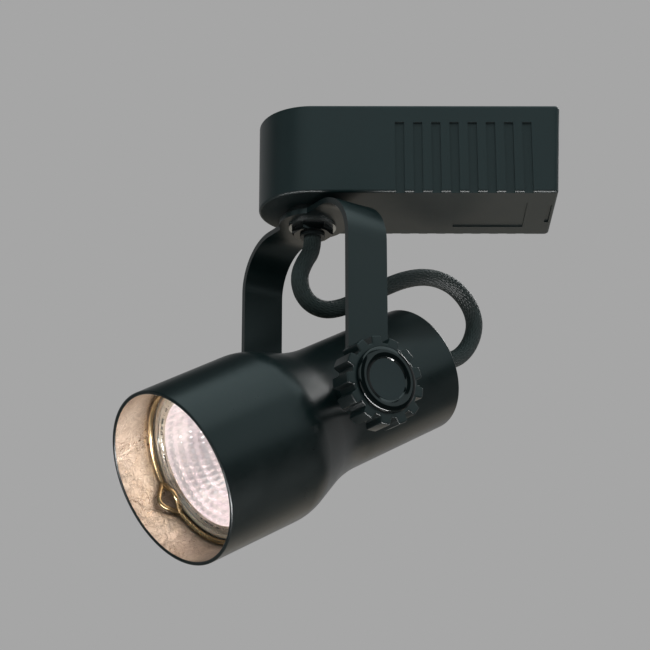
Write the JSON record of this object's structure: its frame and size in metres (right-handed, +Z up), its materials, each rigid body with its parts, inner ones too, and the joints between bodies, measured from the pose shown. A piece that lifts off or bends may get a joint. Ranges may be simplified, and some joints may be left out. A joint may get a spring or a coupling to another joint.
{
  "type": "track spotlight",
  "caption": "Track spotlight: converter housing with a twist-lock connector, swivelling U-shaped yoke, looped cord and a stepped tilting shade with a reflector lamp and gear-shaped knobs.",
  "frame": {"origin": "where the swivel and connector axis meets the housing's top face, the face that lies against the track", "axes": "+Z up along the connector and swivel axis, out of the housing's top face; +X along the housing, from its round end to its square end; +Y across it"},
  "size_m": [0.1435, 0.0951, 0.1602],
  "materials": {
    "moulded_housing": "satin moulded black plastic",
    "black_paint": "semi-gloss black powder paint",
    "knob_plastic": "satin black glass-filled plastic",
    "gloss_cap": "polished black plastic",
    "black_nut": "gloss black nut",
    "zinc_steel": "zinc-plated steel",
    "spring_wire": "bright spring wire",
    "brass": "bare brass",
    "fibre": "pressed fibre",
    "nylon": "black nylon",
    "board_green": "solder-masked board",
    "ferrite": "sintered ferrite",
    "copper": "enamelled copper wire",
    "capacitor": "dipped film capacitor",
    "package": "moulded epoxy package",
    "terminal": "moulded terminal block",
    "aluminium": "plain aluminium",
    "ceramic": "unglazed steatite",
    "lamp_glass": "clear pressed glass",
    "dichroic": "facetted coated glass",
    "rubber": "black rubber",
    "braid": "black braided sleeve",
    "lead": "silicone-covered wire"
  },
  "bodies": {
    "housing": {"housing_shell": "moulded_housing", "top_cover": "moulded_housing", "cover_screws": "zinc_steel", "connector_stem": "moulded_housing", "line_contact": "brass", "neutral_contact": "brass", "earth_contact": "brass", "latch_spring": "zinc_steel", "circuit_board": "board_green", "board_screws": "zinc_steel", "transformer_core": "ferrite", "transformer_winding": "copper", "choke_coil": "copper", "film_capacitors": "capacitor", "power_transistors": "package", "heat_sink": "aluminium", "terminal_block": "terminal"},
    "latch": {"lock_latch": "moulded_housing"},
    "yoke": {"swivel_nipple": "zinc_steel", "swivel_washer": "nylon", "thrust_washer": "nylon", "wave_washer": "zinc_steel", "nipple_lock_nut": "zinc_steel", "flange_washer": "black_nut", "nipple_nut": "black_nut", "cord_bushing": "nylon", "swivel_leads": "lead", "yoke": "black_paint", "cord": "braid"},
    "head": {"head_shell": "black_paint", "pivot_spacer_left": "black_paint", "pivot_spacer_right": "black_paint", "friction_washer_left": "fibre", "friction_washer_right": "fibre", "lamp_seat": "aluminium", "socket_bracket": "zinc_steel", "bracket_screws": "zinc_steel", "socket_screws": "zinc_steel", "lamp_socket": "ceramic", "socket_leads": "lead", "cord_grommet": "rubber"},
    "knob_left": {"knob_left": "knob_plastic", "knob_cap_left": "gloss_cap", "pivot_stud_left": "zinc_steel", "lock_washer_left": "zinc_steel"},
    "knob_right": {"knob_right": "knob_plastic", "knob_cap_right": "gloss_cap", "pivot_stud_right": "zinc_steel", "lock_washer_right": "zinc_steel"},
    "lamp": {"lamp_reflector": "dichroic", "lamp_front_glass": "lamp_glass", "lamp_capsule": "lamp_glass", "lamp_base": "ceramic", "lamp_pins": "zinc_steel"},
    "lamp_ring": {"retaining_ring": "spring_wire"}
  },
  "joints": [
    {"name": "swivel", "type": "hinge", "parent": "housing", "child": "yoke", "pos_m": [0, 0, -0.0349], "axis": [0, 0, 1], "range_deg": [-175, 175]},
    {"name": "tilt", "type": "hinge", "parent": "yoke", "child": "head", "pos_m": [0, 0, -0.1015], "axis": [0.5446, -0.8387, 0], "range_deg": [-30, 60], "deforming": ["cord"]},
    {"name": "left_knob_turn", "type": "hinge", "parent": "head", "child": "knob_left", "pos_m": [0, 0, -0.1015], "axis": [0.5446, -0.8387, 0], "range_deg": [0, 360]},
    {"name": "right_knob_turn", "type": "hinge", "parent": "head", "child": "knob_right", "pos_m": [0, 0, -0.1015], "axis": [-0.5446, 0.8387, 0], "range_deg": [0, 360]},
    {"name": "ring_release", "type": "slide", "parent": "head", "child": "lamp_ring", "axis": [-0.7263, -0.4717, -0.5], "range_m": [0, 0.09]},
    {"name": "lamp_release", "type": "slide", "parent": "head", "child": "lamp", "axis": [-0.7263, -0.4717, -0.5], "range_m": [0, 0.054]},
    {"name": "latch_slide", "type": "slide", "parent": "housing", "child": "latch", "axis": [0, 0, -1], "range_m": [0, 0.004], "stiffness_N_per_m": 300, "springref_m": -0.004, "deforming": ["latch_spring"]}
  ],
  "couplings": [
    {"joint": "lamp_release", "follows": "ring_release", "ratio": 0.6}
  ]
}
